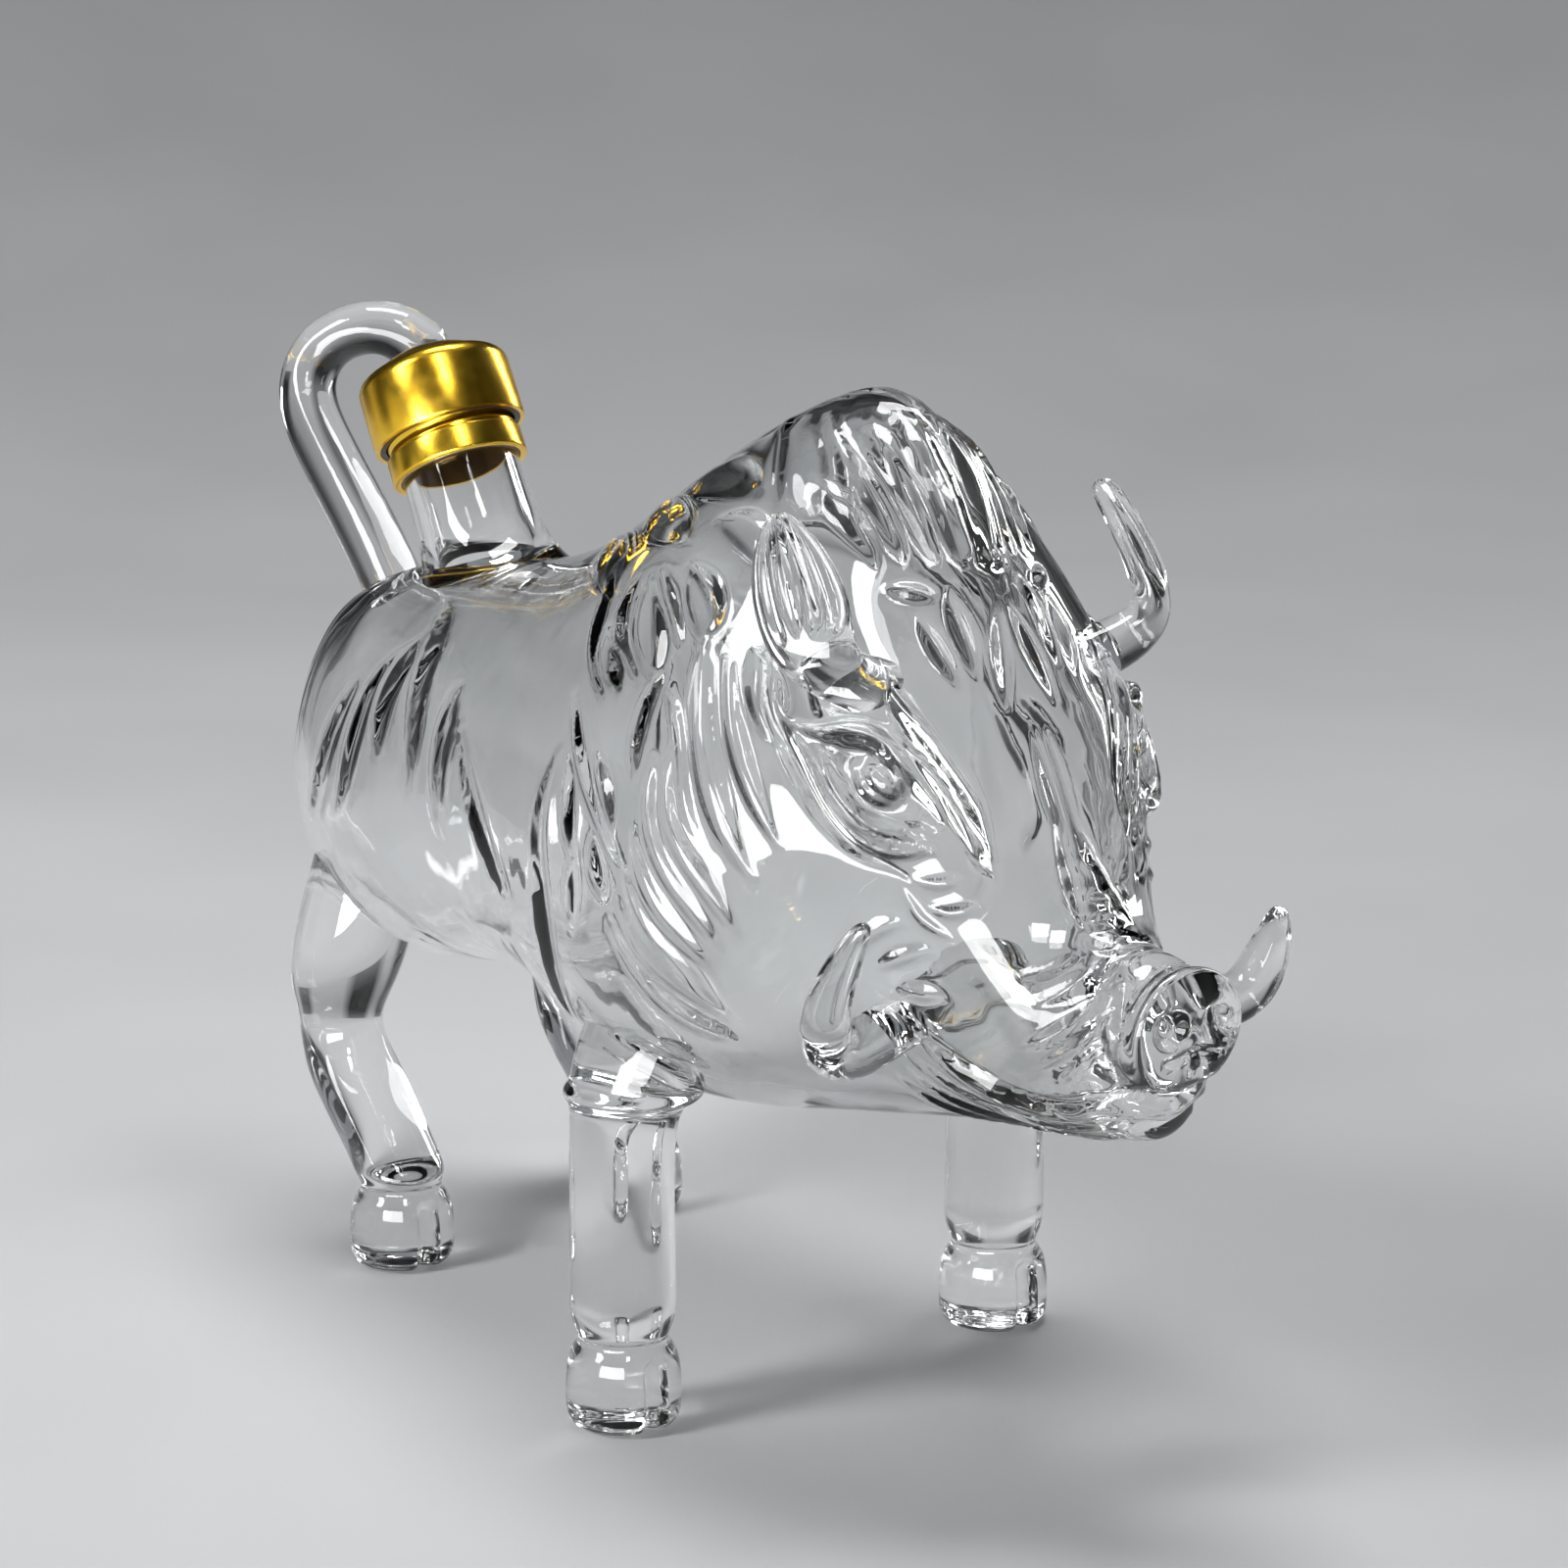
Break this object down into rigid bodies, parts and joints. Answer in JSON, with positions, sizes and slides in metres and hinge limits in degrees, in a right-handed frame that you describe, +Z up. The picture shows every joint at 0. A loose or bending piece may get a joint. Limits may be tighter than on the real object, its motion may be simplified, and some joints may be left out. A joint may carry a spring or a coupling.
{
  "type": "figural glass liquor decanter",
  "caption": "Blown clear-glass decanter in the shape of a standing wild boar, filled through a slanting neck on its back that a gold screw cap closes.",
  "frame": {"origin": "on the floor under the middle of the overall box", "axes": "+X towards the snout, +Z up, -Y towards the boar's right flank"},
  "size_m": [0.2348, 0.0888, 0.1533],
  "materials": {
    "clear_glass": "fire-polished clear borosilicate glass",
    "gold_metal": "polished gold-anodised aluminium",
    "cap_liner": "moulded polypropylene",
    "seal_rubber": "soft food-grade silicone",
    "bond_resin": "clear cured adhesive"
  },
  "bodies": {
    "bottle": {"body_shell": "clear_glass", "neck_tube": "clear_glass", "front_leg_right": "clear_glass", "front_leg_left": "clear_glass", "rear_leg_right": "clear_glass", "rear_leg_left": "clear_glass", "ear_right": "clear_glass", "ear_left": "clear_glass", "tusk_right": "clear_glass", "tusk_left": "clear_glass", "tail": "clear_glass", "neck_collar": "gold_metal", "collar_bond": "bond_resin"},
    "seal": {"cap_seal": "seal_rubber"},
    "cap": {"cap_shell": "gold_metal", "cap_insert": "cap_liner"}
  },
  "joints": [
    {"name": "cap_rise", "type": "slide", "parent": "bottle", "child": "seal", "axis": [-0.4848, 0, 0.8746], "range_m": [0, 0.0076]},
    {"name": "cap_turn", "type": "hinge", "parent": "seal", "child": "cap", "pos_m": [-0.06352, 0, 0.13429], "axis": [-0.4848, 0, 0.8746], "range_deg": [0, 1080]}
  ],
  "couplings": [
    {"joint": "cap_rise", "follows": "cap_turn", "m_per_rad": 0.00039789}
  ]
}
